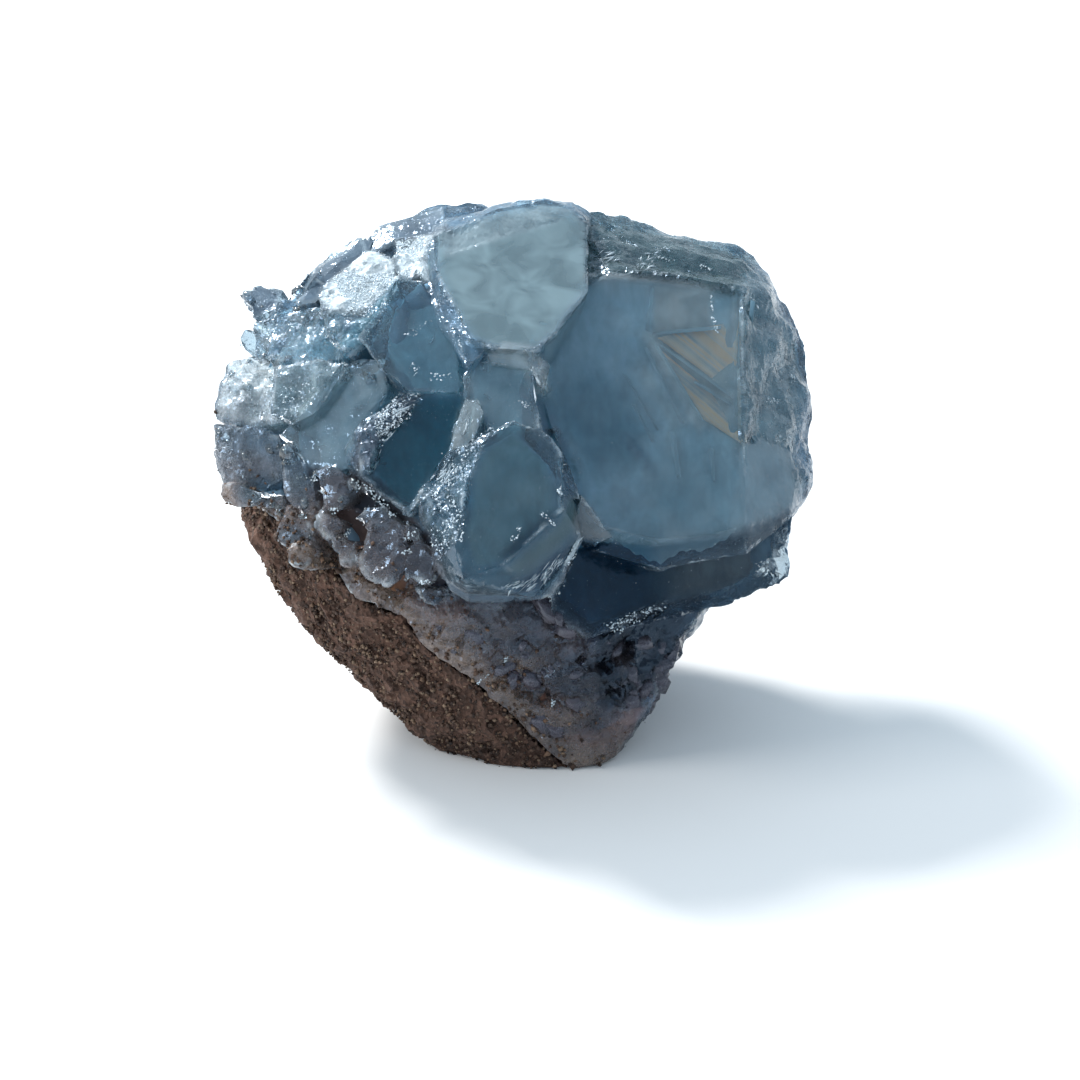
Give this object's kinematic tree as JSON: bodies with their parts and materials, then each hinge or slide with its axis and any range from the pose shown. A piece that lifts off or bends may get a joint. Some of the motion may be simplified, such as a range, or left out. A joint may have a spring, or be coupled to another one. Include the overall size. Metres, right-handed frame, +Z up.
{
  "type": "celestite crystal cluster",
  "caption": "Cluster of blue see-through crystals on a broken massive root, with a sandy matrix crust below, resting on a small flat spot.",
  "frame": {"origin": "on the flat spot's plane, under the middle of the cluster's box", "axes": "+X from the lumpy crust side to the large block crystal, +Y away from the crystals' show side, +Z up from the flat spot"},
  "size_m": [0.0506, 0.0386, 0.0409],
  "materials": {
    "celestite": "see-through blue mineral, glassy faces, milky and broken towards the root",
    "sandy_matrix": "dull, granular, sandy brown marl"
  },
  "bodies": {
    "root": {"celestite": "celestite", "matrix": "sandy_matrix"}
  },
  "joints": []
}
